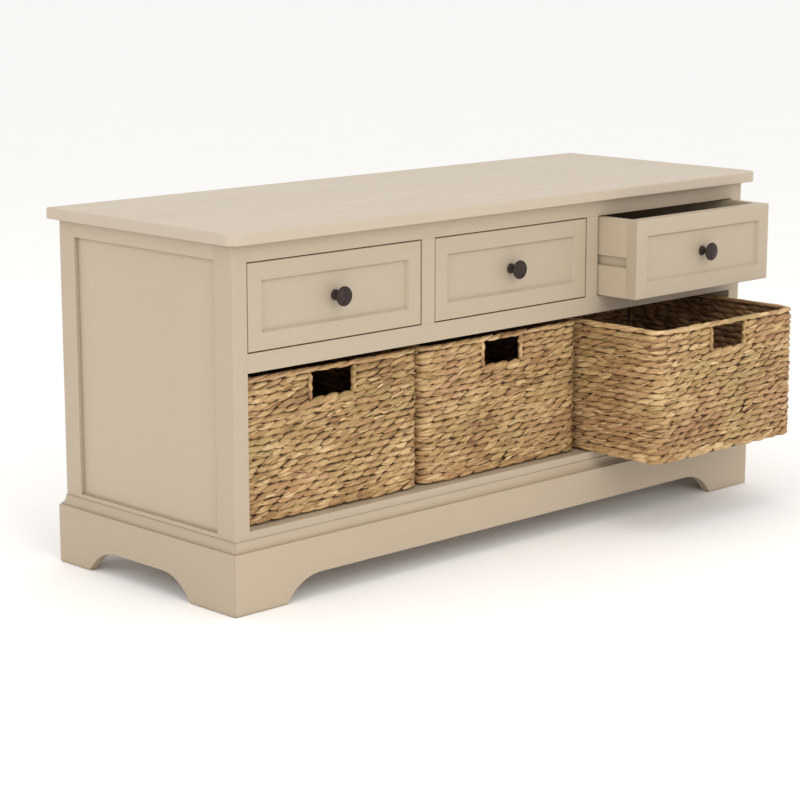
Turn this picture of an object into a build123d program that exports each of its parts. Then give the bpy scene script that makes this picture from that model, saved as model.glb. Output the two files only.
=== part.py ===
"""Entryway bench with three drawers over three woven baskets.

Millimetres, +X to the right as seen from the front, front towards -Y, +Z up.
The bench is laid out about the middle of its top, and every sub-part is moved
by origin_shift at the end, so that the whole part stands centred on its origin
with the right-hand drawer and basket pulled out.
"""
import os

from build123d import *

os.makedirs("parts", exist_ok=True)

# ------------------------------------------------------------ overall sizes
bench_width = 1066.8
bench_depth = 393.7
bench_height = 500.4

# ------------------------------------------------------------ seat top
top_thickness = 16.0
top_overhang_side = 16.0
top_overhang_front = 20.0
top_overhang_back = 6.0
top_corner_radius = 18.0
top_upper_easing = 2.5
top_lower_easing = 1.5

# ------------------------------------------------------------ posts and face frame
post_width = 24.0
front_post_depth = 37.0
rear_post_depth = 34.0
frame_thickness = 20.0
top_rail_height = 25.0
middle_rail_height = 25.5
bottom_rail_height = 25.0
stile_width = 25.0
drawer_opening_height = 118.4
shelf_level = 106.5
edge_easing = 1.2

# ------------------------------------------------------------ side frames and back
side_top_rail_height = 23.0
side_bottom_rail_top = 100.7
side_bottom_rail_height = 48.0
side_rail_thickness = 20.0
side_panel_thickness = 6.0
side_panel_recess = 6.0
panel_tongue = 7.0
panel_fit = 0.1
back_panel_thickness = 6.0
back_panel_inset = 2.0

# ------------------------------------------------------------ boards inside
shelf_thickness = 16.0
deck_thickness = 10.0
deck_drop = 6.0
cleat_width = 12.0
shelf_cleat_height = 16.0
corner_block_size = 45.0
corner_block_height = 20.0

# ------------------------------------------------------------ plinth
plinth_thickness = 14.0
plinth_height = 83.0
floor_gap = 1.0
foot_front = 90.0
foot_side_front = 93.0
foot_side_rear = 68.0
arch_height = 34.0
arch_radius = 70.0
cove_depth = 10.0
cove_height = 12.0
cove_lip = 1.5
glide_radius = 9.0
glide_thickness = 3.0

# ------------------------------------------------------------ drawers
drawer_gap = 1.5
drawer_front_thickness = 20.0
drawer_wall = 12.0
drawer_rear_gap = 3.7
field_margin = 23.5
field_depth = 4.5
field_taper = 35.0
drawer_bottom_thickness = 5.0
drawer_bottom_drop = 8.0
bottom_tongue = 5.0
groove_height = 14.7
groove_depth = 5.5
groove_lift = 45.0
runner_fit = 0.35
runner_front_gap = 0.5
stop_width = 30.0
stop_length = 57.5
stop_catch = 5.5
knob_radius = 13.5
knob_length = 21.5
knob_base_radius = 7.2
knob_neck_radius = 4.2
screw_radius = 2.0
screw_clearance = 0.2
screw_bite = 9.0
screw_head_radius = 4.2
screw_head_height = 3.0
drawer_pull = {"left": 0.0, "centre": 0.0, "right": 74.0}

# ------------------------------------------------------------ baskets
basket_gap = 6.0
basket_setback = 16.85
basket_rear_gap = 7.85
basket_headroom = 10.7
basket_lift = 0.3
basket_wall = 9.0
basket_floor = 8.0
basket_corner_radius = 25.0
rim_height = 8.0
rim_easing = 3.0
handle_width = 72.0
handle_height = 35.0
handle_corner_radius = 6.0
wire_size = 3.5
upright_radius = 1.4
wire_gap = 0.1
basket_pull = {"left": 0.0, "centre": 0.0, "right": 150.0}

# ------------------------------------------------------------ places worked out from the sizes
top_front = -bench_depth / 2
top_back = bench_depth / 2
top_under = bench_height - top_thickness
case_half = bench_width / 2 - top_overhang_side
case_front = top_front + top_overhang_front
case_back = top_back - top_overhang_back
post_inner = case_half - post_width
front_post_back = case_front + front_post_depth
rear_post_front = case_back - rear_post_depth
frame_back = case_front + frame_thickness
back_panel_front = case_back - back_panel_inset - back_panel_thickness
opening_top = top_under - top_rail_height
opening_bottom = opening_top - drawer_opening_height
bay_top = opening_bottom - middle_rail_height
opening_width = (2 * post_inner - 2 * stile_width) / 3
drawer_pitch = opening_width + stile_width
deck_top = opening_bottom - deck_drop
deck_under = deck_top - deck_thickness
shelf_under = shelf_level - shelf_thickness
panel_outer = case_half - side_panel_recess
panel_inner = panel_outer - side_panel_thickness
side_rail_inner = case_half - side_rail_thickness
basket_pitch = 2 * post_inner / 3
basket_closed_front = case_front + basket_setback
basket_front_most = basket_closed_front - max(basket_pull.values())
drawer_front_most = case_front + field_depth - knob_length - max(drawer_pull.values())
origin_shift = -(min(top_front, basket_front_most, drawer_front_most) + top_back) / 2


def block(x0, x1, y0, y1, z0, z1):
    """A rectangular board between two opposite corners."""
    middle = Pos((x0 + x1) / 2, (y0 + y1) / 2, (z0 + z1) / 2)
    return middle * Box(x1 - x0, y1 - y0, z1 - z0)


def save(node, *solids):
    """Write one sub-part, moved from the bench's layout to the part's origin."""
    moved = [Pos(0, origin_shift, 0) * solid for piece in solids for solid in piece.solids()]
    shape = moved[0] if len(moved) == 1 else Compound(children=moved)
    shape.label = node
    export_step(shape, f"parts/{node}.step")


def save_pair(node, piece):
    """Write a right-hand sub-part and its mirror image on the left."""
    save(f"{node}_right", piece)
    save(f"{node}_left", mirror(piece, about=Plane.YZ))


def upright_edges(piece):
    """The edges that run straight up."""
    return piece.edges().filter_by(Axis.Z)


# ------------------------------------------------------------ seat top
def seat_top():
    """One board with rounded front corners and eased edges all round."""
    board = block(-bench_width / 2, bench_width / 2, top_front, top_back, top_under, bench_height)
    board = fillet(upright_edges(board).group_by(Axis.Y)[0], top_corner_radius)
    board = fillet(board.faces().sort_by(Axis.Z)[-1].edges(), top_upper_easing)
    return fillet(board.faces().sort_by(Axis.Z)[0].edges(), top_lower_easing)


save("seat_top", seat_top())


# ------------------------------------------------------------ corner posts, side frames and panels
side_panel_bottom = side_bottom_rail_top - panel_tongue
side_panel_top = top_under - side_top_rail_height + panel_tongue
side_panel_front = front_post_back - panel_tongue
side_panel_rear = rear_post_front + panel_tongue


def side_groove():
    """The groove that takes the side panel's edges, cut from posts and rails alike."""
    return block(
        panel_inner - panel_fit,
        panel_outer + panel_fit,
        side_panel_front - panel_fit,
        side_panel_rear + panel_fit,
        side_panel_bottom - panel_fit,
        side_panel_top + panel_fit,
    )


def corner_post(y0, y1, outer_face):
    """A post from its glide to the seat top, eased on its outer corner."""
    post = block(post_inner, case_half, y0, y1, glide_thickness, top_under)
    corner = [e for e in upright_edges(post) if abs(e.center().X - case_half) < 0.01]
    corner = [e for e in corner if abs(e.center().Y - outer_face) < 0.01]
    return fillet(corner, edge_easing) - side_groove()


def side_rail(z0, z1):
    """A rail between the posts of one end."""
    return block(side_rail_inner, case_half, front_post_back, rear_post_front, z0, z1) - side_groove()


save_pair("front_post", corner_post(case_front, front_post_back, case_front))
save_pair("rear_post", corner_post(rear_post_front, case_back, case_back))
save_pair("side_top_rail", side_rail(top_under - side_top_rail_height, top_under))
save_pair("side_bottom_rail", side_rail(side_bottom_rail_top - side_bottom_rail_height, side_bottom_rail_top))
save_pair(
    "side_panel",
    block(panel_inner, panel_outer, side_panel_front, side_panel_rear, side_panel_bottom, side_panel_top),
)


# ------------------------------------------------------------ face frame
def face_rail(z0, z1):
    """A rail between the front posts, flush with their faces."""
    return block(-post_inner, post_inner, case_front, frame_back, z0, z1)


save("face_top_rail", face_rail(opening_top, top_under))
save("face_middle_rail", face_rail(bay_top, opening_bottom))
save("face_bottom_rail", face_rail(shelf_level - bottom_rail_height, shelf_level))


# ------------------------------------------------------------ boards inside the case
def drawer_partition():
    """An upright board whose front edge fills the frame between two drawer openings."""
    x0 = opening_width / 2
    x1 = x0 + stile_width
    front_edge = block(x0, x1, case_front, frame_back, opening_bottom, opening_top)
    body = block(x0, x1, frame_back, back_panel_front, deck_top, top_under)
    return front_edge + body


def notched_board(half_width, z0, z1):
    """A board from the face frame to the back panel, notched round the posts."""
    board = block(-half_width, half_width, frame_back, back_panel_front, z0, z1)
    for sign in (-1, 1):
        x0, x1 = sorted((sign * post_inner, sign * case_half))
        board -= block(x0, x1, case_front, front_post_back, z0, z1)
        board -= block(x0, x1, rear_post_front, case_back, z0, z1)
    return board


def cleat(z0, z1):
    """A strip along the inside of the right-hand posts that carries a board's end."""
    return block(post_inner - cleat_width, post_inner, frame_back, back_panel_front, z0, z1)


def corner_block(side, end):
    """A three-cornered block under the seat top; side and end are -1 or +1."""
    y_corner = frame_back if end < 0 else back_panel_front
    x_corner = side * post_inner
    outline = Polyline(
        (x_corner, y_corner),
        (x_corner - side * corner_block_size, y_corner),
        (x_corner, y_corner - end * corner_block_size),
        close=True,
    )
    prism = extrude(make_face(outline), amount=corner_block_height)
    return Pos(0, 0, top_under - corner_block_height) * prism


save_pair("drawer_partition", drawer_partition())
save("drawer_deck", notched_board(panel_inner, deck_under, deck_top))
save("basket_shelf", notched_board(side_rail_inner, shelf_under, shelf_level))
save(
    "back_panel",
    block(
        -post_inner,
        post_inner,
        back_panel_front,
        back_panel_front + back_panel_thickness,
        shelf_under - shelf_cleat_height,
        top_under,
    ),
)
right_cleats = [cleat(bay_top, deck_under), cleat(shelf_under - shelf_cleat_height, shelf_under)]
save("board_cleats", *right_cleats, *[mirror(c, about=Plane.YZ) for c in right_cleats])
save("corner_blocks", *[corner_block(side, end) for side in (-1, 1) for end in (-1, 1)])


# ------------------------------------------------------------ plinth, cove moulding and glides
plinth_half = case_half + plinth_thickness
plinth_front_face = case_front - plinth_thickness
arch_run = (arch_radius**2 - (arch_radius - arch_height) ** 2) ** 0.5
cove_top = plinth_height + cove_height


def mitred_front(depth, z0, z1):
    """The space of a strip along the front whose ends meet the side strips at 45 degrees."""
    outline = Polyline(
        (-case_half, case_front),
        (case_half, case_front),
        (case_half + depth, case_front - depth),
        (-case_half - depth, case_front - depth),
        close=True,
    )
    return Pos(0, 0, z0) * extrude(make_face(outline), amount=z1 - z0)


def mitred_side(depth, z0, z1):
    """The space of a strip along the right end, mitred at the front and square at the back."""
    outline = Polyline(
        (case_half, case_front),
        (case_half, case_back),
        (case_half + depth, case_back),
        (case_half + depth, case_front - depth),
        close=True,
    )
    return Pos(0, 0, z0) * extrude(make_face(outline), amount=z1 - z0)


def arch(plane, start, end):
    """A low arch between two feet: flat on top, with an arc down to each foot."""
    middle = (start + end) / 2
    outline = SlotCenterToCenter(end - start - 2 * arch_run, 2 * arch_radius)
    outline = plane * Pos(middle, arch_height - arch_radius) * outline
    return extrude(outline, amount=bench_width, both=True)


def cove_outline():
    """The moulding's section: its inner lower corner is at (0, 0), and it reaches to -depth."""
    outer_top = Pos(-cove_depth, cove_height)
    strip = Pos(-cove_depth / 2, cove_height / 2) * Rectangle(cove_depth, cove_height)
    return strip - outer_top * Ellipse(cove_depth - cove_lip, cove_height - cove_lip)


def plinth_front():
    board = block(-plinth_half, plinth_half, plinth_front_face, case_front, floor_gap, plinth_height)
    upper = board.edges().filter_by(Axis.X).sort_by(Axis.Z)[-2:].sort_by(Axis.Y)[0]
    board = fillet(upper, edge_easing)
    board = board & mitred_front(plinth_thickness, floor_gap, plinth_height)
    return board - arch(Plane.XZ, foot_front - plinth_half, plinth_half - foot_front)


def plinth_side():
    board = block(case_half, plinth_half, plinth_front_face, case_back, floor_gap, plinth_height)
    upper = board.edges().filter_by(Axis.Y).sort_by(Axis.Z)[-2:].sort_by(Axis.X)[-1]
    board = fillet(upper, edge_easing)
    board = board & mitred_side(plinth_thickness, floor_gap, plinth_height)
    return board - arch(Plane.YZ, plinth_front_face + foot_side_front, case_back - foot_side_rear)


def cove_front():
    strip = Plane.YZ * Pos(case_front, plinth_height) * cove_outline()
    length = extrude(strip, amount=case_half + cove_depth, both=True)
    return length & mitred_front(cove_depth, plinth_height, cove_top)


def cove_side():
    strip = Plane.XZ * Pos(case_half, plinth_height) * mirror(cove_outline(), about=Plane.YZ)
    length = extrude(strip, amount=bench_depth, both=True)
    return length & mitred_side(cove_depth, plinth_height, cove_top)


def glides():
    """A round glide under the middle of each post."""
    post_middle = (post_inner + case_half) / 2
    ends = (case_front + front_post_depth / 2, case_back - rear_post_depth / 2)
    spots = [(side * post_middle, y) for side in (-1, 1) for y in ends]
    disc = Cylinder(glide_radius, glide_thickness, align=(Align.CENTER, Align.CENTER, Align.MIN))
    disc = chamfer(disc.edges().sort_by(Axis.Z)[0], floor_gap / 2)
    return [Pos(x, y, 0) * disc for x, y in spots]


save("plinth_front", plinth_front())
save_pair("plinth_side", plinth_side())
save("cove_front", cove_front())
save_pair("cove_side", cove_side())
save("foot_glides", *glides())


# ------------------------------------------------------------ drawer runners and stops
drawer_half = opening_width / 2 - drawer_gap
drawer_low = opening_bottom + drawer_gap
drawer_high = opening_top - drawer_gap
drawer_back = rear_post_front - drawer_rear_gap
drawer_side_front = case_front + drawer_front_thickness
groove_bottom = drawer_low + groove_lift
groove_top = groove_bottom + groove_height
stop_front = drawer_side_front + runner_front_gap
columns = (("left", -1), ("centre", 0), ("right", 1))


def runner_pair(middle):
    """Two strips that stand out into the grooves of one drawer's sides."""
    reach = drawer_gap + groove_depth - runner_fit
    y0 = drawer_side_front + runner_front_gap
    strips = []
    for side in (-1, 1):
        wall = middle + side * opening_width / 2
        x0, x1 = sorted((wall, wall - side * reach))
        strips.append(
            block(x0, x1, y0, back_panel_front, groove_bottom + runner_fit, groove_top - runner_fit)
        )
    return strips


def stop_block(middle):
    """A block on the deck that a closed drawer's front and a pulled-out drawer's back meet."""
    return block(
        middle - stop_width / 2,
        middle + stop_width / 2,
        stop_front,
        stop_front + stop_length,
        deck_top,
        drawer_low + stop_catch,
    )


save("drawer_runners", *[strip for _, k in columns for strip in runner_pair(k * drawer_pitch)])
save("drawer_stops", *[stop_block(k * drawer_pitch) for _, k in columns])


# ------------------------------------------------------------ drawers
knob_level = (drawer_low + drawer_high) / 2
field_floor = case_front + field_depth
bottom_low = drawer_low + drawer_bottom_drop
bottom_high = bottom_low + drawer_bottom_thickness
inner_half = drawer_half - drawer_wall


def bottom_groove():
    """The groove that takes the drawer bottom's edges, cut from all four walls."""
    return block(
        -inner_half - bottom_tongue - panel_fit,
        inner_half + bottom_tongue + panel_fit,
        drawer_side_front - bottom_tongue - panel_fit,
        drawer_back - drawer_wall + bottom_tongue + panel_fit,
        bottom_low - panel_fit,
        bottom_high + panel_fit,
    )


def drawer_front():
    """A thick board with a sunk flat field that has sloping sides, bored for the knob's screw."""
    board = block(-drawer_half, drawer_half, case_front, drawer_side_front, drawer_low, drawer_high)
    board = fillet(board.faces().sort_by(Axis.Y)[0].edges(), edge_easing)
    field = Rectangle(2 * (drawer_half - field_margin), drawer_high - drawer_low - 2 * field_margin)
    facing = Plane(origin=(0, case_front, knob_level), x_dir=(1, 0, 0), z_dir=(0, 1, 0))
    board -= extrude(facing * field, amount=field_depth, taper=field_taper)
    board -= screw_bar(screw_radius + screw_clearance, case_front, drawer_side_front)
    return board - bottom_groove()


def screw_bar(radius, y0, y1):
    """A round bar along the knob's screw, from y0 back to y1."""
    bar = Rot(90, 0, 0) * Cylinder(radius, y1 - y0)
    return Pos(0, (y0 + y1) / 2, knob_level) * bar


def drawer_side():
    """The right-hand wall, flush with the front's end, with a groove for its runner outside."""
    wall = block(inner_half, drawer_half, drawer_side_front, drawer_back, drawer_low, drawer_high)
    wall -= block(
        drawer_half - groove_depth,
        drawer_half,
        drawer_side_front,
        drawer_back,
        groove_bottom,
        groove_top,
    )
    return wall - bottom_groove()


def drawer_rear_wall():
    """The wall between the sides at the back; its lower edge is what the stop block catches."""
    wall = block(-inner_half, inner_half, drawer_back - drawer_wall, drawer_back, drawer_low, drawer_high)
    return wall - bottom_groove()


def drawer_bottom():
    return block(
        -inner_half - bottom_tongue,
        inner_half + bottom_tongue,
        drawer_side_front - bottom_tongue,
        drawer_back - drawer_wall + bottom_tongue,
        bottom_low,
        bottom_high,
    )


def knob():
    """A mushroom knob: round foot, slim neck and a wide, slightly domed cap, bored for its screw."""
    foot_height = 2.2
    neck_low = foot_height + 3.0
    rim_low = knob_length - 5.0
    rim_high = knob_length - 1.8
    cap_edge = knob_radius - 1.0
    flare_low = rim_low - 7.5
    diagonal = 0.5**0.5
    bore = Polyline((0, knob_length), (0, screw_bite), (screw_radius, screw_bite), (screw_radius, 0))
    foot = Polyline((screw_radius, 0), (knob_base_radius, 0), (knob_base_radius, foot_height))
    hollow = ThreePointArc(
        (knob_base_radius, foot_height),
        (
            knob_base_radius - (knob_base_radius - knob_neck_radius) * diagonal,
            neck_low - (neck_low - foot_height) * diagonal,
        ),
        (knob_neck_radius, neck_low),
    )
    neck = Line((knob_neck_radius, neck_low), (knob_neck_radius, flare_low))
    flare = ThreePointArc(
        (knob_neck_radius, flare_low),
        (
            cap_edge - (cap_edge - knob_neck_radius) * diagonal,
            flare_low + (rim_low - flare_low) * diagonal,
        ),
        (cap_edge, rim_low),
    )
    rim = ThreePointArc(
        (cap_edge, rim_low),
        (knob_radius, (rim_low + rim_high) / 2),
        (cap_edge, rim_high),
    )
    dome = TangentArc((0, knob_length), (cap_edge, rim_high), tangent=(1, 0))
    outline = bore + foot + hollow + neck + flare + rim + dome
    turned = revolve(Plane.XZ * make_face(outline), axis=Axis.Z)
    return Pos(0, field_floor, knob_level) * Rot(90, 0, 0) * turned


def knob_screw():
    """The machine screw from inside the drawer into the knob."""
    shank = screw_bar(screw_radius, field_floor - screw_bite, drawer_side_front)
    head = screw_bar(screw_head_radius, drawer_side_front, drawer_side_front + screw_head_height)
    return shank + head


drawer_pieces = {
    "front": drawer_front(),
    "side_right": drawer_side(),
    "side_left": mirror(drawer_side(), about=Plane.YZ),
    "rear_wall": drawer_rear_wall(),
    "bottom": drawer_bottom(),
    "knob": knob(),
    "knob_screw": knob_screw(),
}
for column, k in columns:
    place = Pos(k * drawer_pitch, -drawer_pull[column], 0)
    for piece_name, piece in drawer_pieces.items():
        save(f"drawer_{column}_{piece_name}", place * piece)


# ------------------------------------------------------------ baskets
basket_width = basket_pitch - basket_gap
basket_back = back_panel_front - basket_rear_gap
basket_depth = basket_back - basket_closed_front
basket_middle = (basket_back + basket_closed_front) / 2
basket_low = shelf_level + basket_lift
basket_high = bay_top - basket_headroom
rim_low_level = basket_high - rim_height


def rounded_plan(inset):
    """The basket's rounded rectangle in plan, drawn in by inset all round."""
    return RectangleRounded(
        basket_width - 2 * inset,
        basket_depth - 2 * inset,
        basket_corner_radius - inset,
    )


def standing(outline, z0, z1):
    """A plan outline stood up between two levels at the basket's place."""
    return Pos(0, basket_middle, z0) * extrude(outline, amount=z1 - z0)


def basket_weave():
    """The woven box with a floor, open on top, and a hand hole in its front under the rim."""
    body = standing(rounded_plan(0), basket_low, rim_low_level)
    body -= standing(rounded_plan(basket_wall), basket_low + basket_floor, rim_low_level)
    hole_low = rim_low_level - handle_height
    hole = block(
        -handle_width / 2,
        handle_width / 2,
        basket_closed_front - basket_wall,
        basket_closed_front + 2 * basket_wall,
        hole_low,
        rim_low_level + handle_height,
    )
    lower = [e for e in hole.edges().filter_by(Axis.Y) if abs(e.center().Z - hole_low) < 0.01]
    return body - fillet(lower, handle_corner_radius)


def basket_rim():
    """The braided ring bound round the top, with softened edges."""
    ring = standing(rounded_plan(0) - rounded_plan(basket_wall), rim_low_level, basket_high)
    long_edges = ring.faces().sort_by(Axis.Z)[-1].edges()
    return fillet(long_edges, rim_easing)


def basket_wire():
    """The wire that stiffens the weave: a square ring on the floor and a round upright in each corner."""
    inset = basket_wall + wire_gap
    ring_low = basket_low + basket_floor
    ring_high = ring_low + wire_size
    frame = standing(rounded_plan(inset) - rounded_plan(inset + wire_size), ring_low, ring_high)
    middle_inset = inset + wire_size / 2
    bend = basket_corner_radius - middle_inset
    out = bend * 0.5**0.5
    x_corner = basket_width / 2 - middle_inset - bend + out
    y_corner = basket_depth / 2 - middle_inset - bend + out
    rise = rim_low_level - ring_high
    upright = Cylinder(upright_radius, rise, align=(Align.CENTER, Align.CENTER, Align.MIN))
    for x_side in (-1, 1):
        for y_side in (-1, 1):
            frame += Pos(x_side * x_corner, basket_middle + y_side * y_corner, ring_high) * upright
    return frame


basket_pieces = {"weave": basket_weave(), "rim": basket_rim(), "wire": basket_wire()}
for column, k in columns:
    place = Pos(k * basket_pitch, -basket_pull[column], 0)
    for piece_name, piece in basket_pieces.items():
        save(f"basket_{column}_{piece_name}", place * piece)
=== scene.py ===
# %% [markdown]
# # An entryway bench with drawers and woven baskets
# The CAD model already holds every board, runner and slide of this bench, so this script adds
# only what CAD can't: painted wood that looks brushed by hand, knobs turned on a lathe, and
# baskets whose walls are real twisted strands. Everything is placed from the CAD pieces' own
# boxes, in metres, so nothing has to be fitted by eye.

# %% Load the frame
import math
import random

import bmesh
import bpy
import numpy as np
from mathutils import Euler, Matrix, Vector, noise


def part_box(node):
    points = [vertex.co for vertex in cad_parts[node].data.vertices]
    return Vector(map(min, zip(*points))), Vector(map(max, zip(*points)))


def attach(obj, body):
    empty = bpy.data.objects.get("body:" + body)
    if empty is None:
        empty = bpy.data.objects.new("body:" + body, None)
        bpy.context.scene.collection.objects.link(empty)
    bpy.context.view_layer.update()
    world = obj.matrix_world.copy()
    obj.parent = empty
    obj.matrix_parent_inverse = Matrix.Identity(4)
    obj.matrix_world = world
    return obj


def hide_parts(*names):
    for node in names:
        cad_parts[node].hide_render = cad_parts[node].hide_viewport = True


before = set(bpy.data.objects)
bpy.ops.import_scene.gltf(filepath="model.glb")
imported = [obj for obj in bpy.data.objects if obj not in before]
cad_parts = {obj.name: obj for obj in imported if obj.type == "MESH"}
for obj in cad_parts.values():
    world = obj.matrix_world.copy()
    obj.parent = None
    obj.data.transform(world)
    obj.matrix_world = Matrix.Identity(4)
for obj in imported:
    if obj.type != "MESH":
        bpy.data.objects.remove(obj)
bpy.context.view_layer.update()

mm = 0.001
columns = ("left", "centre", "right")

# %% [markdown]
# ## Camera
# A long lens far away flattens the bench, as in a shop picture. The camera is placed from the
# middle of the seat's footprint, and aimed at a point low on the front, so that it keeps its
# view if the bench moves in its frame. Track quaternions turn a direction into a rotation.

# %% Camera
seat_low, seat_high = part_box("seat_top")
footprint_middle = Vector(((seat_low.x + seat_high.x) / 2, (seat_low.y + seat_high.y) / 2, 0))
camera_offset = Vector((-2.3928, -2.4285, 0.8936))
aim_offset = Vector((-0.052, 0, 0.191))
camera_place = footprint_middle + camera_offset
camera_target = footprint_middle + aim_offset
camera_data = bpy.data.cameras.new("camera")
camera_data.lens = 105.2
camera_data.sensor_width = 36
camera_data.clip_end = 200
camera = bpy.data.objects.new("camera", camera_data)
camera.location = camera_place
camera.rotation_euler = (camera_target - camera_place).to_track_quat("-Z", "Y").to_euler()
bpy.context.scene.collection.objects.link(camera)
bpy.context.scene.camera = camera
print("camera", [round(v, 3) for v in camera.location])

# %% [markdown]
# ## Studio
# Cream paint shows its true colour in even, nearly shadowless light: a bright plain world does
# most of the work, two big soft lamps fill the front and the near end, and one straight above,
# with painted light in the seat's lighter copy of the cream, makes the seat the lightest face while
# its edges stay as dark as the front.
# A standard view transform keeps the pale paint from being greyed by a filmic curve.

# %% World
scene = bpy.context.scene
scene.view_settings.view_transform = "Standard"
sky_color = (1.0, 0.985, 0.965, 1)
sky_strength = 0.98
world = bpy.data.worlds.new("studio")
world.use_nodes = True
background = world.node_tree.nodes["Background"]
background.inputs["Color"].default_value = sky_color
background.inputs["Strength"].default_value = sky_strength
scene.world = world
print("world strength", sky_strength)


# %% Lamps
def add_lamp(name, place, aim, size, power, color):
    """A square soft lamp at place that points at aim."""
    data = bpy.data.lights.new(name, "AREA")
    data.shape = "SQUARE"
    data.size = size
    data.energy = power
    data.color = color
    lamp = bpy.data.objects.new(name, data)
    lamp.location = place
    lamp.rotation_euler = (Vector(aim) - Vector(place)).to_track_quat("-Z", "Y").to_euler()
    scene.collection.objects.link(lamp)


bench_middle = (0, 0, 0.25)
lamps = [
    ("key", (-0.9, -3.2, 1.7), bench_middle, 2.2, 38, (1.0, 0.97, 0.92)),
    ("side_fill", (-3.0, -0.6, 1.4), bench_middle, 1.8, 14, (1.0, 0.97, 0.94)),
    ("overhead", (0, 0.1, 2.6), (0, 0.1, 0), 2.0, 10, (1.0, 0.99, 0.97)),
]
for lamp in lamps:
    add_lamp(*lamp)
print("lamps:", [lamp[0] for lamp in lamps])

# %% Floor
floor_half = 40
floor_mesh = bpy.data.meshes.new("floor")
floor_bm = bmesh.new()
bmesh.ops.create_grid(floor_bm, x_segments=1, y_segments=1, size=floor_half)
floor_bm.to_mesh(floor_mesh)
floor_bm.free()
floor = bpy.data.objects.new("floor", floor_mesh)
scene.collection.objects.link(floor)
print("floor", 2 * floor_half, "m wide")

# %% [markdown]
# ## Materials: shared helpers
# Every material has its own Principled BSDF. What several materials share, such as how paint
# streaks along a board and how painted shade darkens its corners, is a node group that puts out a
# colour, a roughness and a normal. Groups are made once and placed in each material with other values.


# %% Material helpers
def new_material(name):
    """An empty Principled material: the material, its nodes, its links and the shader."""
    material = bpy.data.materials.new(name)
    material.use_nodes = True
    tree = material.node_tree
    return material, tree.nodes, tree.links, tree.nodes["Principled BSDF"]


def new_group(name, inputs, outputs):
    """A shader node group whose sockets are (kind, name, default)."""
    group = bpy.data.node_groups.new(name, "ShaderNodeTree")
    for kind, label, default in inputs:
        socket = group.interface.new_socket(label, in_out="INPUT", socket_type="NodeSocket" + kind)
        if default is not None:
            socket.default_value = default
    for kind, label in outputs:
        group.interface.new_socket(label, in_out="OUTPUT", socket_type="NodeSocket" + kind)
    return group, group.nodes.new("NodeGroupInput"), group.nodes.new("NodeGroupOutput")


def add_noise(nodes, scale, detail, roughness=0.5):
    """A noise texture that nothing feeds yet."""
    node = nodes.new("ShaderNodeTexNoise")
    node.inputs["Scale"].default_value = scale
    node.inputs["Detail"].default_value = detail
    node.inputs["Roughness"].default_value = roughness
    return node


def add_math(nodes, links, operation, first, second=None, clamp=False):
    """A Math node fed by sockets or plain numbers; returns its output."""
    node = nodes.new("ShaderNodeMath")
    node.operation = operation
    node.use_clamp = clamp
    for socket, value in zip(node.inputs, (first, second)):
        if isinstance(value, (int, float)):
            socket.default_value = value
        elif value is not None:
            links.new(value, socket)
    return node.outputs[0]


def add_range(nodes, links, value, from_low, from_high, to_low, to_high):
    """Maps one range of a value onto another, and holds it at both ends."""
    node = nodes.new("ShaderNodeMapRange")
    numbers = {"From Min": from_low, "From Max": from_high, "To Min": to_low, "To Max": to_high}
    for label, number in numbers.items():
        node.inputs[label].default_value = number
    links.new(value, node.inputs["Value"])
    return node.outputs["Result"]


def add_spread(nodes, links, pattern, to_low, to_high):
    """A noise hardly ever leaves 0.3 to 0.7, so that part of it is spread out."""
    return add_range(nodes, links, pattern.outputs["Fac"], 0.3, 0.7, to_low, to_high)


def add_mix(nodes, links, factor, first, second, blend="MIX"):
    """A colour mix; each argument is a socket or a plain value."""
    node = nodes.new("ShaderNodeMix")
    node.data_type = "RGBA"
    node.blend_type = blend
    sockets = (node.inputs[0], node.inputs[6], node.inputs[7])
    for socket, value in zip(sockets, (factor, first, second)):
        if hasattr(value, "links"):
            links.new(value, socket)
        else:
            socket.default_value = value
    return node.outputs[2]


print("material helpers ready")

# %% [markdown]
# ## Cream paint
# The real bench is sprayed and rubbed back, so the paint is satin, with faint streaks along each
# board and a slow change of tone from board to board. Part of that change is painted light, because
# each board's cream is made lighter or darker for how light falls on it. Painted shade darkens inside
# corners, such as those of the sunk panels. Streaks come from a noise stretched along the grain, the
# painted shade from ambient occlusion over a few millimetres, and a bevel normal softens the boards'
# sharp edges.


# %% Paint group
white = (1.0, 1.0, 1.0, 1)
faded_tone = (0.955, 0.955, 0.95, 1)
brushed_tone = (0.972, 0.968, 0.955, 1)
corner_shade_color = (0.24, 0.175, 0.095, 1)
corner_shade_reach = 7 * mm
edge_softness = 0.9 * mm
brush_mark_depth = 0.4 * mm


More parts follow.
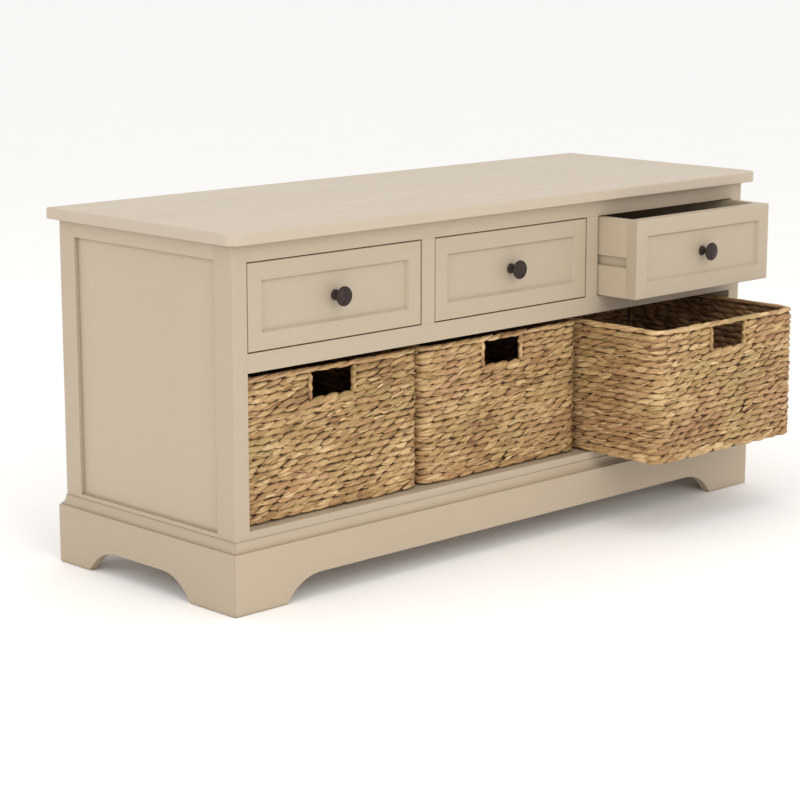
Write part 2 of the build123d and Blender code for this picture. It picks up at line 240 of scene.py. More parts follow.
def paint_group():
    """Streaks, slow mottling, painted shade in the corners and soft edges, for any cream paint."""
    inputs = [
        ("Vector", "Grain", None),
        ("Color", "Paint", white),
        ("Color", "Corner Shade", corner_shade_color),
        ("Float", "Corner Shade Amount", 0.5),
    ]
    outputs = [("Color", "Color"), ("Float", "Roughness"), ("Vector", "Normal")]
    group, given, result = new_group("cream_paint_film", inputs, outputs)
    nodes, links = group.nodes, group.links
    streaks = add_noise(nodes, scale=55, detail=5, roughness=0.62)
    mottle = add_noise(nodes, scale=3.2, detail=3, roughness=0.5)
    for node in (streaks, mottle):
        links.new(given.outputs["Grain"], node.inputs["Vector"])
    faded = add_mix(nodes, links, add_spread(nodes, links, mottle, 0.0, 1.0), faded_tone, white)
    brushed = add_mix(nodes, links, add_spread(nodes, links, streaks, 0.0, 1.0), brushed_tone, white)
    tone = add_mix(nodes, links, 1.0, faded, brushed, "MULTIPLY")
    painted = add_mix(nodes, links, 1.0, given.outputs["Paint"], tone, "MULTIPLY")
    # Painted shade: ambient occlusion darkens the paint towards a dark brown in corners and recesses.
    occlusion = nodes.new("ShaderNodeAmbientOcclusion")
    occlusion.samples = 6
    occlusion.inputs["Distance"].default_value = corner_shade_reach
    corner_shade_mask = add_range(nodes, links, occlusion.outputs["AO"], 0.35, 0.95, 1.0, 0.0)
    corner_shaded = add_math(nodes, links, "MULTIPLY", corner_shade_mask, given.outputs["Corner Shade Amount"])
    links.new(add_mix(nodes, links, corner_shaded, painted, given.outputs["Corner Shade"]), result.inputs["Color"])
    links.new(add_spread(nodes, links, streaks, 0.36, 0.5), result.inputs["Roughness"])
    soft_edge = nodes.new("ShaderNodeBevel")
    soft_edge.samples = 4
    soft_edge.inputs["Radius"].default_value = edge_softness
    bump = nodes.new("ShaderNodeBump")
    bump.inputs["Strength"].default_value = 0.10
    bump.inputs["Distance"].default_value = brush_mark_depth
    links.new(streaks.outputs["Fac"], bump.inputs["Height"])
    links.new(soft_edge.outputs["Normal"], bump.inputs["Normal"])
    links.new(bump.outputs["Normal"], result.inputs["Normal"])
    return group


cream_film = paint_group()
print("paint film:", len(cream_film.nodes), "nodes")


# %% Cream paints
def cream_paint(name, paint, corner_shade_amount, stretch):
    """Satin cream paint whose streaks run along the axis with the smallest stretch."""
    material, nodes, links, shader = new_material(name)
    place = nodes.new("ShaderNodeTexCoord")
    grain = nodes.new("ShaderNodeMapping")
    grain.inputs["Scale"].default_value = stretch
    film = nodes.new("ShaderNodeGroup")
    film.node_tree = cream_film
    film.inputs["Paint"].default_value = (*paint, 1)
    film.inputs["Corner Shade"].default_value = corner_shade_color
    film.inputs["Corner Shade Amount"].default_value = corner_shade_amount
    links.new(place.outputs["Object"], grain.inputs["Vector"])
    links.new(grain.outputs["Vector"], film.inputs["Grain"])
    links.new(film.outputs["Color"], shader.inputs["Base Color"])
    links.new(film.outputs["Roughness"], shader.inputs["Roughness"])
    links.new(film.outputs["Normal"], shader.inputs["Normal"])
    shader.inputs["Specular IOR Level"].default_value = 0.35
    return material


along_x = (0.12, 1, 1)
along_y = (1, 0.12, 1)
along_z = (1, 1, 0.12)
# One cream paint, copied per face and made lighter or darker for how light falls on that face: painted
# light and shade. The seat's copy is painted lighter as if lit from above, the drawer boxes' copy is
# painted lighter against the shade they stand in, and the plinth's copies are a little darker.
front_paint = (0.457, 0.379, 0.284)
end_paint = (0.477, 0.399, 0.299)
paints = {
    "seat": cream_paint("cream_paint_seat", (0.500, 0.422, 0.331), 0.2, along_x),
    "rails": cream_paint("cream_paint_rails", front_paint, 0.35, along_x),
    "uprights": cream_paint("cream_paint_uprights", front_paint, 0.35, along_z),
    "ends": cream_paint("cream_paint_ends", end_paint, 0.38, along_z),
    "end_rails": cream_paint("cream_paint_end_rails", end_paint, 0.35, along_y),
    "plinth": cream_paint("cream_paint_plinth", (0.452, 0.369, 0.272), 0.4, along_x),
    "plinth_ends": cream_paint("cream_paint_plinth_ends", (0.442, 0.358, 0.263), 0.4, along_y),
    "drawer_box": cream_paint("cream_paint_drawer_box", (0.50, 0.42, 0.315), 0.35, along_y),
}
print("paints:", sorted(paints))

# %% [markdown]
# ## Boards inside, runners, metal and nylon
# Hidden boards are plain brown fibreboard: a fine speckle with no direction. The runners are
# waxed hardwood with a grain along their length. Knobs are dark bronze, whose colour shifts
# slightly between brown and violet grey.


# %% Plain materials
def speckled(name, dark, light, scale, roughness, stretch=(1, 1, 1), bumpiness=0.15, metallic=0.0):
    """A two-tone noise material for board, hardwood, metal or nylon."""
    material, nodes, links, shader = new_material(name)
    place = nodes.new("ShaderNodeTexCoord")
    turn = nodes.new("ShaderNodeMapping")
    turn.inputs["Scale"].default_value = stretch
    pattern = add_noise(nodes, scale, detail=6, roughness=0.6)
    links.new(place.outputs["Object"], turn.inputs["Vector"])
    links.new(turn.outputs["Vector"], pattern.inputs["Vector"])
    tone = add_range(nodes, links, pattern.outputs["Fac"], 0.32, 0.68, 0.0, 1.0)
    links.new(add_mix(nodes, links, tone, (*dark, 1), (*light, 1)), shader.inputs["Base Color"])
    rough = add_spread(nodes, links, pattern, roughness - 0.07, roughness + 0.07)
    links.new(rough, shader.inputs["Roughness"])
    bump = nodes.new("ShaderNodeBump")
    bump.inputs["Strength"].default_value = bumpiness
    bump.inputs["Distance"].default_value = 0.3 * mm
    links.new(pattern.outputs["Fac"], bump.inputs["Height"])
    links.new(bump.outputs["Normal"], shader.inputs["Normal"])
    shader.inputs["Metallic"].default_value = metallic
    return material


def give(piece, material):
    """Puts one material on a piece, whatever it had."""
    piece.data.materials.clear()
    piece.data.materials.append(material)


fibreboard = speckled("brown_fibreboard", (0.16, 0.10, 0.055), (0.30, 0.20, 0.12), 420, 0.75)
hardwood = speckled("waxed_hardwood", (0.30, 0.18, 0.09), (0.50, 0.33, 0.18), 90, 0.5, along_y)
bronze = speckled("dark_bronze", (0.014, 0.008, 0.007), (0.046, 0.028, 0.024), 260, 0.42, metallic=0.5)
zinc = speckled("zinc_plate", (0.42, 0.42, 0.41), (0.62, 0.62, 0.60), 500, 0.35, metallic=1.0)
wire_paint = speckled("dark_wire_paint", (0.030, 0.018, 0.012), (0.070, 0.045, 0.030), 300, 0.55)
nylon = speckled("brown_nylon", (0.10, 0.07, 0.05), (0.16, 0.12, 0.09), 600, 0.6)
pale_floor = speckled("pale_floor", (0.955, 0.955, 0.95), (0.97, 0.97, 0.965), 3, 0.9, bumpiness=0.0)
give(floor, pale_floor)
print("plain materials:", fibreboard.name, hardwood.name, bronze.name, zinc.name, nylon.name)

# %% [markdown]
# ## Which finish goes where
# The CAD nodes stay as they are and only change their material. A short table of name parts
# is enough, because the pieces are named after what they are: the first match wins.

# %% Dress the CAD nodes
finishes = [
    ("knob_screw", zinc),
    ("knob", bronze),
    ("wire", wire_paint),
    ("foot_glides", nylon),
    ("drawer_runners", hardwood),
    ("seat_top", paints["seat"]),
    ("plinth_side", paints["plinth_ends"]),
    ("cove_side", paints["plinth_ends"]),
    ("plinth", paints["plinth"]),
    ("cove", paints["plinth"]),
    ("side_panel", paints["ends"]),
    ("side_top_rail", paints["end_rails"]),
    ("side_bottom_rail", paints["end_rails"]),
    ("post", paints["uprights"]),
    ("partition", paints["uprights"]),
    ("face_", paints["rails"]),
    ("basket_shelf", paints["rails"]),
    ("_front", paints["rails"]),
    ("_side_", paints["drawer_box"]),
    ("rear_wall", paints["drawer_box"]),
]
for node_name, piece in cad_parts.items():
    matches = [finish for part, finish in finishes if part in node_name]
    give(piece, matches[0] if matches else fibreboard)
print("dressed", len(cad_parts), "CAD pieces")


# %% [markdown]
# ## Turned knobs
# A knob is a turned shape, so it is made as a turner would: one profile, spun round its axis.
# The cap is a shallow dome inside a raised rim, on a waisted neck and a small foot. A spin with
# use_merge closes the seam; recalculated normals make sure that the faces point outwards.


# %% Knobs
def arc_points(centre, radius_x, radius_y, start, stop, steps):
    """Points on an elliptical arc, angles in degrees."""
    angles = [math.radians(start + (stop - start) * i / steps) for i in range(steps + 1)]
    return [(centre[0] + radius_x * math.cos(a), centre[1] + radius_y * math.sin(a)) for a in angles]


def knob_profile(radius, length):
    """Half the outline of a knob as (radius, height) pairs, from its foot to its dome."""
    foot_radius = 7.2 * mm
    foot_height = 1.6 * mm
    waist_level = 5.2 * mm
    waist_depth = 3.0 * mm
    waist_height = 3.2 * mm
    flare_height = 7.5 * mm
    flare_width = radius - 5.4 * mm
    cap_low = length - 5.0 * mm
    edge_width = 1.2 * mm
    edge_height = 1.6 * mm
    rim_middle = radius - edge_width
    dome = 1.35 * mm
    profile = [(0, 0), (foot_radius, 0), (foot_radius, foot_height)]
    waist_middle = (foot_radius, waist_level)
    profile += arc_points(waist_middle, waist_depth, waist_height, 260, 180, 5)
    flare_middle = (rim_middle, cap_low - flare_height)
    profile += arc_points(flare_middle, flare_width, flare_height, 180, 90, 7)
    edge_middle = (rim_middle, cap_low + edge_height)
    profile += arc_points(edge_middle, edge_width, edge_height, -80, 80, 6)
    profile += [(radius - 2.6 * mm, length - 1.55 * mm), (radius - 3.2 * mm, length - 1.7 * mm)]
    profile += [(radius * share, length - dome * share**2) for share in (0.7, 0.5, 0.25, 0)]
    return profile


def turned_knob(node_name):
    """A knob on the CAD knob's axis, from its foot to the front of its dome."""
    low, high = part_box(node_name)
    profile = knob_profile((high.x - low.x) / 2, high.y - low.y)
    bm = bmesh.new()
    points = [bm.verts.new((r, -h, 0)) for r, h in profile]
    edges = [bm.edges.new(pair) for pair in zip(points, points[1:])]
    bmesh.ops.spin(
        bm,
        geom=points + edges,
        cent=(0, 0, 0),
        axis=(0, 1, 0),
        angle=2 * math.pi,
        steps=48,
        use_merge=True,
    )
    bmesh.ops.remove_doubles(bm, verts=bm.verts, dist=0.01 * mm)
    bmesh.ops.recalc_face_normals(bm, faces=bm.faces)
    middle = Vector(((low.x + high.x) / 2, high.y, (low.z + high.z) / 2))
    bmesh.ops.translate(bm, verts=bm.verts, vec=middle)
    return bm


def mesh_from(name, bm):
    """A smooth mesh from a bmesh, which is then freed."""
    mesh = bpy.data.meshes.new(name)
    for face in bm.faces:
        face.smooth = True
    bm.to_mesh(mesh)
    bm.free()
    return mesh


def finished(name, mesh, body, material, slot, *nodes):
    """A mesh as a piece that rides on a body and stands for some CAD nodes."""
    piece = bpy.data.objects.new(name, mesh)
    scene.collection.objects.link(piece)
    give(piece, material)
    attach(piece, body)
    if nodes:
        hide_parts(*nodes)
    return piece


for column in columns:
    cad_knob = f"drawer_{column}_knob"
    turned = mesh_from(f"turned_knob_{column}", turned_knob(cad_knob))
    knob = finished(turned.name, turned, f"drawer_{column}", bronze, "dark_bronze", cad_knob)
    print(knob.name, len(knob.data.polygons), "faces")

# %% [markdown]
# ## Water hyacinth strands
# The dried stalks are flat, creased and never one colour: straw, tan, some pinkish and some
# greenish, with dark shadow between them, deepened by painted shade. Each strand of the weave carries
# two attributes:
# strand_place, its own coordinates along and round the stalk, which the fibres follow, and
# strand_tint_and_shade, three random numbers for tone and hue, so that no two strands match, shifted
# darker and redder as painted shade where a point lies inside the wall.


# %% Hyacinth group
stalk_tones = [
    (0.0, (0.135, 0.066, 0.032)),
    (0.3, (0.325, 0.185, 0.080)),
    (0.65, (0.51, 0.325, 0.150)),
    (1.0, (0.72, 0.52, 0.285)),
]
pinkish_stalk = (0.42, 0.22, 0.125, 1)
greenish_stalk = (0.38, 0.30, 0.12, 1)
gap_shade = (0.055, 0.027, 0.012, 1)
gap_reach = 6 * mm
fibre_stretch = (50, 400, 40)
fibre_depth = 1.6 * mm


def hyacinth_group():
    """Fibres along a stalk, its own tone and hue, and painted shade darkening the gaps between stalks.
    """
    inputs = [("Vector", "Place", None), ("Vector", "Tint", None), ("Float", "Depth", 0.8)]
    outputs = [("Color", "Color"), ("Float", "Roughness"), ("Vector", "Normal")]
    group, given, result = new_group("hyacinth_stalk", inputs, outputs)
    nodes, links = group.nodes, group.links
    tint = nodes.new("ShaderNodeSeparateXYZ")
    links.new(given.outputs["Tint"], tint.inputs[0])
    ramp = nodes.new("ShaderNodeValToRGB")
    for position, color in stalk_tones[1:-1]:
        ramp.color_ramp.elements.new(position).color = (*color, 1)
    ramp.color_ramp.elements[0].color = (*stalk_tones[0][1], 1)
    ramp.color_ramp.elements[-1].color = (*stalk_tones[-1][1], 1)
    fibres = add_noise(nodes, scale=1.0, detail=5, roughness=0.65)
    stretch = nodes.new("ShaderNodeMapping")
    stretch.inputs["Scale"].default_value = fibre_stretch
    links.new(given.outputs["Place"], stretch.inputs["Vector"])
    links.new(stretch.outputs["Vector"], fibres.inputs["Vector"])
    patches = add_noise(nodes, scale=45, detail=2)
    links.new(given.outputs["Place"], patches.inputs["Vector"])
    fibre_tone = add_range(nodes, links, fibres.outputs["Fac"], 0.25, 0.75, -0.40, 0.40)
    patch_tone = add_spread(nodes, links, patches, -0.16, 0.16)
    tone = add_math(nodes, links, "ADD", tint.outputs["X"], fibre_tone)
    links.new(add_math(nodes, links, "ADD", tone, patch_tone, clamp=True), ramp.inputs["Fac"])
    pinkish = add_range(nodes, links, tint.outputs["Y"], 0.6, 1.0, 0.0, 0.5)
    greenish = add_range(nodes, links, tint.outputs["Y"], 0.4, 0.0, 0.0, 0.5)
    warm = add_mix(nodes, links, pinkish, ramp.outputs["Color"], pinkish_stalk)
    hued = add_mix(nodes, links, greenish, warm, greenish_stalk)
    # Painted shade: ambient occlusion darkens the gaps between strands towards gap_shade.
    occlusion = nodes.new("ShaderNodeAmbientOcclusion")
    occlusion.samples = 6
    occlusion.inputs["Distance"].default_value = gap_reach
    gap = add_range(nodes, links, occlusion.outputs["AO"], 0.10, 0.62, 1.0, 0.0)
    gap = add_math(nodes, links, "MULTIPLY", gap, given.outputs["Depth"])
    links.new(add_mix(nodes, links, gap, hued, gap_shade), result.inputs["Color"])
    links.new(add_spread(nodes, links, fibres, 0.5, 0.72), result.inputs["Roughness"])
    bump = nodes.new("ShaderNodeBump")
    bump.inputs["Strength"].default_value = 0.9
    bump.inputs["Distance"].default_value = fibre_depth
    links.new(fibres.outputs["Fac"], bump.inputs["Height"])
    links.new(bump.outputs["Normal"], result.inputs["Normal"])
    return group


hyacinth_stalk = hyacinth_group()
print("hyacinth group:", len(hyacinth_stalk.nodes), "nodes")


# %% Hyacinth materials
def hyacinth(name, depth):
    """Dried stalk; depth is how dark the painted shade in the gaps between strands is."""
    material, nodes, links, shader = new_material(name)
    stalk = nodes.new("ShaderNodeGroup")
    stalk.node_tree = hyacinth_stalk
    stalk.inputs["Depth"].default_value = depth
    for label, socket in (("strand_place", "Place"), ("strand_tint_and_shade", "Tint")):
        attribute = nodes.new("ShaderNodeAttribute")
        attribute.attribute_name = label
        links.new(attribute.outputs["Vector"], stalk.inputs[socket])
    links.new(stalk.outputs["Color"], shader.inputs["Base Color"])
    links.new(stalk.outputs["Roughness"], shader.inputs["Roughness"])
    links.new(stalk.outputs["Normal"], shader.inputs["Normal"])
    shader.inputs["Specular IOR Level"].default_value = 0.25
    return material


weave_finish = hyacinth("hyacinth_weave", 0.85)
rim_finish = hyacinth("hyacinth_rim", 0.7)
# The core's near-black brown is painted shade: it stands for the shadow inside the weave.
shade_core_finish = speckled("painted_shade_core", (0.045, 0.022, 0.010), (0.09, 0.045, 0.020), 160, 0.85)
print("basket materials:", weave_finish.name, rim_finish.name, shade_core_finish.name)

# %% [markdown]
# ## One stalk
# Every stalk that shows in the weave is a ball with few faces, pinched towards its ends and
# stretched to a strand's length, height and thickness. The three baskets need several thousand
# of them, and an operator call for each would take minutes, so one operator makes the ball and
# numpy stamps its points wherever a strand lies.


# %% The ball that strands are stamped from
def ball():
    """A pinched ball: its points, its four-sided faces and the triangles at its two ends."""
    bm = bmesh.new()
    bmesh.ops.create_uvsphere(bm, u_segments=8, v_segments=8, radius=1)
    points = np.array([vert.co for vert in bm.verts])
    pinch = np.clip(1 - points[:, 2] ** 2, 0, 1) ** 0.2
    points[:, :2] *= pinch[:, None]
    corners = [[vert.index for vert in face.verts] for face in bm.faces]
    bm.free()
    faces = np.array([corner for corner in corners if len(corner) == 4])
    caps = np.array([corner for corner in corners if len(corner) == 3])
    return points, faces, caps


ball_points, ball_faces, ball_caps = ball()
print("a strand has", len(ball_points), "points")

# %% [markdown]
# ## Weaving on the flat
# A basket wall is made as one long flat strip first: x runs round the basket, y is the wall's
# thickness and z is up. A strand is turned a little, so that it rises along its row and one end
# tucks in behind the next, as twisted stalks do. Its tone and hue drift slowly over the wall,
# as if the weaver had used one bundle of stalks after another, and each strand adds its own.
# Every weave has its own seeded random numbers, so the baskets differ and never change.

# %% How far strands differ
twist = 0.5
patch_frequency = (11, 11, 16)
middle_tint, tint_drift, tint_spread = 0.58, 0.30, 0.10
middle_hue, hue_drift, hue_spread = 0.5, 0.75, 0.13
size_ranges = ((0.9, 1.22), (0.88, 1.12), (0.88, 1.08))
along_wobble = 0.12
through_wobble = 0.5 * mm
up_wobble = 0.4 * mm
rise_wobble = 0.07
tuck_wobble = 0.05
wander_frequency = (9, 30)
fibre_shift = 9
hue_shift = 7
shade_shift = np.array([-0.42, 0.30, 0.0])
print("strand length varies from", size_ranges[0][0], "to", size_ranges[0][1])


# %% Strands laid on the flat
class Weave:
    """Strands on the flat: where each lies, how it is turned and stretched, and its tint."""

    def __init__(self, seed):
        self.draw = random.Random(seed)
        # Each seed reads its own part of the slow noise.
        self.drift = Vector((seed * 3.7, seed * 1.3, 5.1))
        self.places = []
        self.stretches = []
        self.tints = []

    def strand(self, middle, size, rise, tuck, tone=0.0):
        """One strand of half length, height and thickness size; rise turns it up along the row,
        tuck turns one end into the wall."""
        draw = self.draw
        half_length, half_height, half_thickness = size
        turn = Euler((draw.uniform(-twist, twist), -rise, tuck)).to_matrix().to_4x4()
        stretch = Matrix.Diagonal((half_length, half_thickness, half_height, 1))
        lie_down = Matrix.Rotation(math.pi / 2, 4, "Y")
        self.places.append(np.array(Matrix.Translation(middle) @ turn @ stretch @ lie_down))
        self.stretches.append((half_length, half_height))
        spot = Vector([place * often for place, often in zip(middle, patch_frequency)])
        patch = noise.noise(spot + self.drift)
        hue_patch = noise.noise(spot + 2 * self.drift)
        tint = middle_tint + tone + tint_drift * patch + draw.gauss(0, tint_spread)
        hue = middle_hue + hue_drift * hue_patch + draw.gauss(0, hue_spread)
        self.tints.append((tint, hue, draw.random()))

    def row(self, start, stop, middle, spacing, size, rise=0.13, tuck=0.12, tone=0.0, wander=0.0):
        """Overlapping strands from start to stop; middle is the row's place through and up."""
        number = max(1, round((stop - start) / spacing))
        step = (stop - start) / number
        draw = self.draw
        for i in range(number):
            along = start + step * (i + 0.5) + draw.uniform(-along_wobble, along_wobble) * step
            row_spot = (along * wander_frequency[0], middle[1] * wander_frequency[1], start)
            wave = wander * noise.noise(Vector(row_spot))
            through = middle[0] + draw.uniform(-1, 1) * through_wobble
            up = middle[1] + wave + draw.uniform(-1, 1) * up_wobble
            own_size = [length * draw.uniform(*limits) for length, limits in zip(size, size_ranges)]
            own_rise = rise + draw.uniform(-rise_wobble, rise_wobble)
            own_tuck = tuck + draw.uniform(-tuck_wobble, tuck_wobble)
            self.strand(Vector((along, through, up)), own_size, own_rise, own_tuck, tone)

    def points(self):
        """Every strand's points, on the flat."""
        whole = np.column_stack([ball_points, np.ones(len(ball_points))])
        return np.einsum("nij,vj->nvi", np.array(self.places), whole)[:, :, :3].reshape(-1, 3)

    def mesh(self, name, points, inside):
        """The strands as one mesh, with the attributes that the hyacinth material follows;
        inside is how far each point lies in the basket's shade, where the stalks are painted darker
        and redder as painted shade."""
        number, each = len(self.places), len(ball_points)
        offsets = (np.arange(number) * each)[:, None, None]
        faces = (ball_faces[None] + offsets).reshape(-1, 4).tolist()
        faces += (ball_caps[None] + offsets).reshape(-1, 3).tolist()
        mesh = bpy.data.meshes.new(name)
        mesh.from_pydata(points.tolist(), [], faces)
        tints = np.repeat(np.array(self.tints), each, axis=0)
        stretches = np.repeat(np.array(self.stretches), each, axis=0)
        local = np.tile(ball_points, (number, 1))
        around = np.arctan2(local[:, 1], local[:, 0]) * stretches[:, 1]
        along = -local[:, 2] * stretches[:, 0] + fibre_shift * tints[:, 2]
        place = np.column_stack([along, around, hue_shift * tints[:, 1]])
        # Painted shade: points inside the wall get darker, redder tints.
        tints = tints + inside[:, None] * shade_shift
        for label, values in (("strand_place", place), ("strand_tint_and_shade", tints)):
            layer = mesh.attributes.new(label, "FLOAT_VECTOR", "POINT")
            layer.data.foreach_set("vector", values.astype(np.float32).ravel())
        mesh.polygons.foreach_set("use_smooth", [True] * len(mesh.polygons))
        mesh.update()
        return mesh


# %% [markdown]
# ## Rolling the strip round the basket
# The finished strip is rolled round the basket's rounded plan, which bends the strands at the
# corners for free. The plan is walked from the middle of the front: half a side, a bend, a side
# and so on, nine parts in all, so a point's distance along the strip says which part it is on.
# A fine noise then creases the strands, so that none stays a smooth ball. The noise gets a seed
# first, because otherwise Blender's noise vectors change with every run.


# %% The plan and the creases
class Plan:
    """The rounded rectangle of a wall's middle line, walked from the middle of the front."""

    def __init__(self, low, high, corner, inset):
        self.middle = np.array([(low.x + high.x) / 2, (low.y + high.y) / 2])
        self.radius = corner - inset
        x = (high.x - low.x) / 2 - corner
        y = (high.y - low.y) / 2 - corner
        bend = self.radius * math.pi / 2
        lengths = [x, bend, 2 * y, bend, 2 * x, bend, 2 * y, bend, x]
        self.ends = np.cumsum(lengths)
        self.starts = self.ends - lengths
        self.length = self.ends[-1]
        corners = [(x, -y), (x, y), (-x, y), (-x, -y)]
        self.origins = np.array([(0, -y)] + [corner for corner in corners for _ in range(2)])

    def rolled(self, flat_points):
        """Flat points (along, through, up) carried round the plan; through is inwards."""
        along = np.mod(flat_points[:, 0], self.length)
        part = np.searchsorted(self.ends[:-1], along, side="right")
        into = along - self.starts[part]
        on_bend = part % 2 == 1
        heading = part // 2 * math.pi / 2 + np.where(on_bend, into / self.radius, 0)
        forward = np.stack([np.cos(heading), np.sin(heading)], axis=1)
        outward = np.stack([np.sin(heading), -np.cos(heading)], axis=1)
        walked = np.where(on_bend, 0, into)[:, None] * forward
        reach = (self.radius - flat_points[:, 1])[:, None] * outward
        plan = self.middle + self.origins[part] + walked + reach
        return np.column_stack([plan, flat_points[:, 2]])


crease_depth = 1.15 * mm
crease_frequency = 240
crease_seed = 7
noise.seed_set(crease_seed)


def crease(points, seed):
    """Pushes points about by a fine noise."""
    start = Vector((seed, 0, 0))
    push = [noise.noise_vector(Vector(point) * crease_frequency + start) for point in points]
    return points + crease_depth * np.array(push)


wall = 9.0 * mm
corner_radius = 18.0 * mm
basket_low, basket_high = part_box("basket_left_weave")
print("round a basket:", round(Plan(basket_low, basket_high, corner_radius, wall / 2).length, 3), "m")

# %% [markdown]
# ## The wall, its hand hole and its foot
# The hand hole is left out of the rows that it crosses. Upright strands bind its two sides, and
# a row of its own lies along its sill. The foot is one more row, of slightly longer and thicker
# strands.

# %% Wall
row_pitch = 8.9 * mm
wall_spacing = 23.5 * mm
row_start = 0.2
row_wander = 1.3 * mm
wall_strand = (19.5 * mm, 5.3 * mm, 4.5 * mm)
hole_half = 36.0 * mm
hole_height = 35.0 * mm
bind = 3.6 * mm
bind_number = 3
bind_lean = 0.22
bind_strand = (9.5 * mm, bind, 4.3 * mm)
sill_drop = 2.6 * mm
sill_spacing = 26 * mm
sill_strand = (19 * mm, 4.4 * mm, 4.6 * mm)
foot_height = 5.0 * mm
foot_level = 5.2 * mm
foot_spacing = 27 * mm
foot_strand = (20 * mm, 4.9 * mm, 4.7 * mm)


def woven_wall(low, high, plan, seed):
    """All rows of one basket's wall, still on the flat."""
    weave = Weave(seed)
    hole_sill = high.z - hole_height
    woven_height = high.z - low.z - foot_height
    rows = int(woven_height / row_pitch)
    pitch = woven_height / rows
    for i in range(rows):
        level = low.z + foot_height + pitch * (i + 0.5)
        if level > hole_sill:
            start = hole_half + 2 * bind
            stop = plan.length - start
        else:
            start = (i % 2 / 2 + weave.draw.uniform(-row_start, row_start)) * wall_spacing
            stop = plan.length + start
        wander = row_wander if 0 < i < rows - 1 else 0.0
        weave.row(start, stop, (0, level), wall_spacing, wall_strand, wander=wander)
    for side in (-1, 1):
        for k in range(bind_number):
            level = hole_sill + (k + 0.5) * hole_height / bind_number
            middle = Vector((side * (hole_half + bind), 0, level))
            weave.strand(middle, bind_strand, math.pi / 2 - side * bind_lean, 0.0, 0.02)
    sill = hole_half + bind
    sill_place = (0, hole_sill - sill_drop)
    weave.row(-sill, sill, sill_place, sill_spacing, sill_strand, rise=0.06, tone=0.06)
    foot_place = (0, low.z + foot_level)
    weave.row(0, plan.length, foot_place, foot_spacing, foot_strand, rise=0.10, tone=0.05)
    return weave


print("wall rows about", round(row_pitch / mm, 1), "mm apart")

# %% [markdown]
# ## The rim
# The rim is one row of long strands round the top, a little lighter than the wall: partly because it
# is what hands touch, and partly painted light, because it is what the light falls on.

# %% Rim
rim_raise = 0.5 * mm
rim_spacing = 24 * mm
rim_strand = (23 * mm, 3.7 * mm, 4.9 * mm)


def bound_rim(level, plan, seed):
    """The row of long strands round the top, still on the flat."""
    weave = Weave(seed)
    place = (0, level)
    # tone lightens the rim: partly wear from hands, partly painted light.
    weave.row(0, plan.length, place, rim_spacing, rim_strand, rise=0.07, tuck=0.1, tone=0.14)
    return weave


print("rim strands are", round(2 * rim_strand[0] / mm), "mm long")

# %% [markdown]
# ## Loose fibres
# Dried stalks fray, so thin fibres lie just outside the rows, some darker and some lighter than
# the stalks below. They are kept off the hand hole.

# %% Loose fibres
splinter = (13 * mm, 1.9 * mm, 1.5 * mm)
splinter_number = 1100
splinter_lengths = (0.6, 1.3)
splinter_reach = (-4.3, -3.0)
splinter_foot = 8 * mm
splinter_top = 4 * mm
beside_hole = 22 * mm
below_hole = 8 * mm


def splinters(low, high, plan, seed):
    """Thin loose fibres that stand a little off the outside of the rows."""
    weave = Weave(seed)
    draw = weave.draw
    for _ in range(splinter_number):
        along = draw.uniform(0, plan.length)
        level = draw.uniform(low.z + splinter_foot, high.z - splinter_top)
        by_hole = min(along, plan.length - along) < hole_half + beside_hole
        if by_hole and level > high.z - hole_height - below_hole:
            continue
        size = [length * draw.uniform(*splinter_lengths) for length in splinter]
        middle = Vector((along, draw.uniform(*splinter_reach) * mm, level))
        rise = draw.gauss(0.12, 0.16)
        tuck = draw.uniform(-0.10, 0.12)
        weave.strand(middle, size, rise, tuck, draw.uniform(-0.3, 0.22))
    return weave


print("up to", splinter_number, "loose fibres on a basket")

# %% [markdown]
# ## The floor of a basket
# The floor is hardly seen, so it is laid in straight rows across the inside, a little apart
# from the wall.

# %% Floor strands
floor_pitch = 11 * mm
floor_spacing = 27 * mm
floor_level = 4.4 * mm
floor_gap = 1 * mm
floor_end_gap = 8 * mm
floor_strand = (18 * mm, 3.0 * mm, 6.2 * mm)


def floor_weave(low, high, seed):
    """Straight rows of strands across the inside of the floor."""
    weave = Weave(seed)
    inside = wall + floor_gap
    depth = high.y - low.y - 2 * inside
    rows = int(depth / floor_pitch)
    pitch = depth / rows
    start = low.x + inside + floor_end_gap
    stop = high.x - inside - floor_end_gap
    for i in range(rows):
        spot = (low.y + inside + (i + 0.5) * pitch, low.z + floor_level)
        weave.row(start, stop, spot, floor_spacing, floor_strand, rise=0.04, tuck=0.2)
    return weave


print("floor rows about", round(floor_pitch / mm), "mm apart")

# %% [markdown]
# ## A painted-shade core in the wall
# Light must not pass through the gaps between strands, so a thin dark wall runs in the middle
# of the woven one; its dark brown is painted shade, standing for the shadow deep in the weave. It
# starts as a cube whose upright edges are bevelled to the basket's corners. Its lid is taken off,
# three planes cut it along the hand hole, the faces in the hole are deleted, and solidify gives the
# rest a thickness, which leaves it closed.

# %% Core wall
core_thickness = 1.6 * mm
core_short = 2 * mm


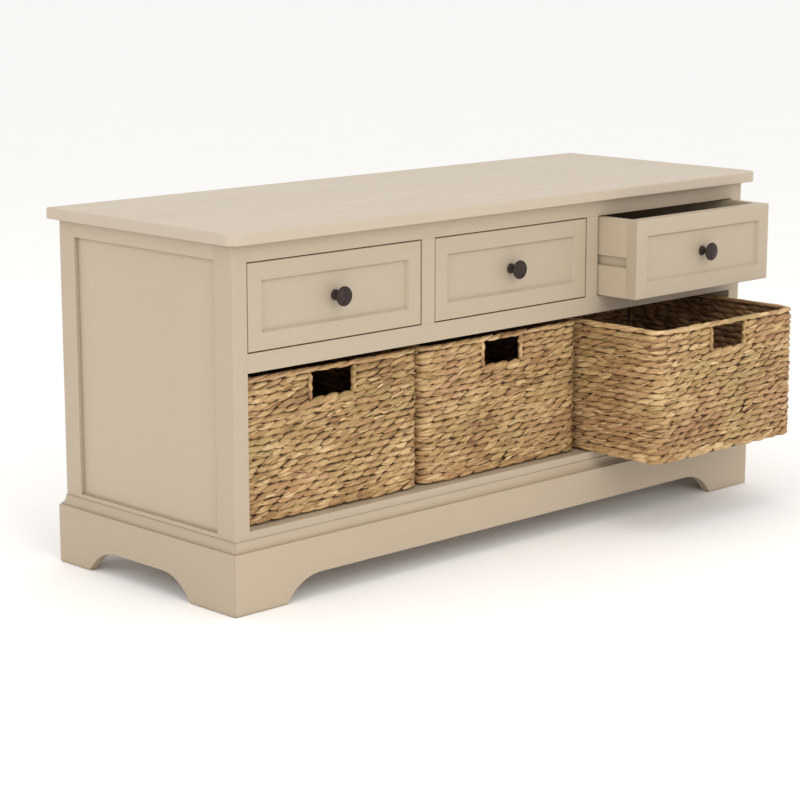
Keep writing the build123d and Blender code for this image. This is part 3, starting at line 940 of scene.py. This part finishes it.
def shade_core_wall(low, high, sill):
    """A thin closed wall with the hand hole cut out above the sill, and a floor plate."""
    bm = bmesh.new()
    size = high - low
    middle = (low + high) / 2
    bmesh.ops.create_cube(bm, size=1)
    inset = (wall - core_thickness) / 2
    spread = (size.x - 2 * inset, size.y - 2 * inset, size.z - core_short)
    bmesh.ops.scale(bm, vec=spread, verts=bm.verts)
    bmesh.ops.translate(bm, vec=middle, verts=bm.verts)
    upright = [e for e in bm.edges if abs((e.verts[0].co - e.verts[1].co).z) > size.z / 2]
    bmesh.ops.bevel(
        bm,
        geom=upright,
        offset=corner_radius - inset,
        offset_type="OFFSET",
        segments=6,
        profile=0.5,
        affect="EDGES",
        material=-1,
    )
    lid = [f for f in bm.faces if f.normal.z > 0.9]
    bmesh.ops.delete(bm, geom=lid, context="FACES_ONLY")
    reach = hole_half + bind
    cuts = [
        (Vector((middle.x - reach, 0, 0)), Vector((1, 0, 0))),
        (Vector((middle.x + reach, 0, 0)), Vector((1, 0, 0))),
        (Vector((0, 0, sill)), Vector((0, 0, 1))),
    ]
    for spot, direction in cuts:
        everything = bm.verts[:] + bm.edges[:] + bm.faces[:]
        bmesh.ops.bisect_plane(bm, geom=everything, plane_co=spot, plane_no=direction)
    hole = []
    for face in bm.faces:
        centre = face.calc_center_median()
        if abs(centre.x - middle.x) < reach and centre.y < middle.y and centre.z > sill:
            hole.append(face)
    bmesh.ops.delete(bm, geom=hole, context="FACES")
    bmesh.ops.recalc_face_normals(bm, faces=bm.faces)
    bmesh.ops.solidify(bm, geom=bm.faces[:], thickness=core_thickness)
    return bm


print("core wall", round(core_thickness / mm, 1), "mm thick")

# %% [markdown]
# ## Pressing a strip into its basket
# A real basket gives way to its neighbours, so every woven piece is pressed into the room that
# it has: points that stick out below its foot, above its rim or too far at its sides move to
# the edge of that room. This also keeps a basket clear of the shelf that it slides on. Towards
# the inside of the wall the stalks are painted darker and redder, as painted shade, because less light
# reaches them there.

# %% Woven pieces
side_room = 2.5 * mm
shade_depth = 2.5 * mm


def rolled_piece(name, weave, plan, room, body, material, slot, *nodes):
    """Rolls the flat strip round the plan, creases it, presses it into the basket's room and
    finishes it as a piece."""
    flat = weave.points()
    inside = np.clip(flat[:, 1] / shade_depth, 0, 1)
    points = np.clip(crease(plan.rolled(flat), len(weave.places)), *room)
    mesh = weave.mesh(name, points, inside)
    return finished(name, mesh, body, material, slot, *nodes)


def laid_piece(name, weave, room, body, material, slot, seed):
    """Creases strands that stay flat, presses them into the basket's room and finishes them."""
    flat = weave.points()
    points = np.clip(crease(flat, seed), *room)
    # The whole floor lies inside the basket, so all of it gets the painted shade.
    mesh = weave.mesh(name, points, np.ones(len(flat)))
    return finished(name, mesh, body, material, slot)


print("room at the sides", round(side_room / mm, 1), "mm")

# %% Weave the three baskets
slot = "hyacinth_weave"
first_seeds = {"wall": 11, "rim": 31, "floor": 51, "fibres": 71}
for number, column in enumerate(columns):
    body = f"basket_{column}"
    cad_weave = f"basket_{column}_weave"
    cad_rim = f"basket_{column}_rim"
    low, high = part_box(cad_weave)
    rim_low, rim_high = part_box(cad_rim)
    rim_level = (rim_low.z + rim_high.z) / 2 + rim_raise
    room_low = np.array([low.x - side_room, low.y - side_room, low.z])
    room = (room_low, np.array([high.x + side_room, high.y + side_room, rim_high.z]))
    plan = Plan(low, high, corner_radius, wall / 2)
    woven = woven_wall(low, high, plan, first_seeds["wall"] + number)
    rolled_piece(f"woven_wall_{column}", woven, plan, room, body, weave_finish, slot, cad_weave)
    rim = bound_rim(rim_level, plan, first_seeds["rim"] + number)
    rolled_piece(f"bound_rim_{column}", rim, plan, room, body, rim_finish, "hyacinth_rim", cad_rim)
    # The dark core inside the wall is painted shade.
    core_top = Vector((high.x, high.y, rim_level))
    core = mesh_from(f"painted_shade_core_{column}", shade_core_wall(low, core_top, high.z - hole_height - bind))
    finished(core.name, core, body, shade_core_finish, slot)
    loose = splinters(low, high, plan, first_seeds["fibres"] + number)
    rolled_piece(f"loose_fibres_{column}", loose, plan, room, body, weave_finish, slot)
    laid = floor_weave(low, high, first_seeds["floor"] + number)
    laid_piece(f"woven_floor_{column}", laid, room, body, weave_finish, slot, number)
    print(column, "basket:", len(woven.places), "wall strands,", len(rim.places), "in the rim")
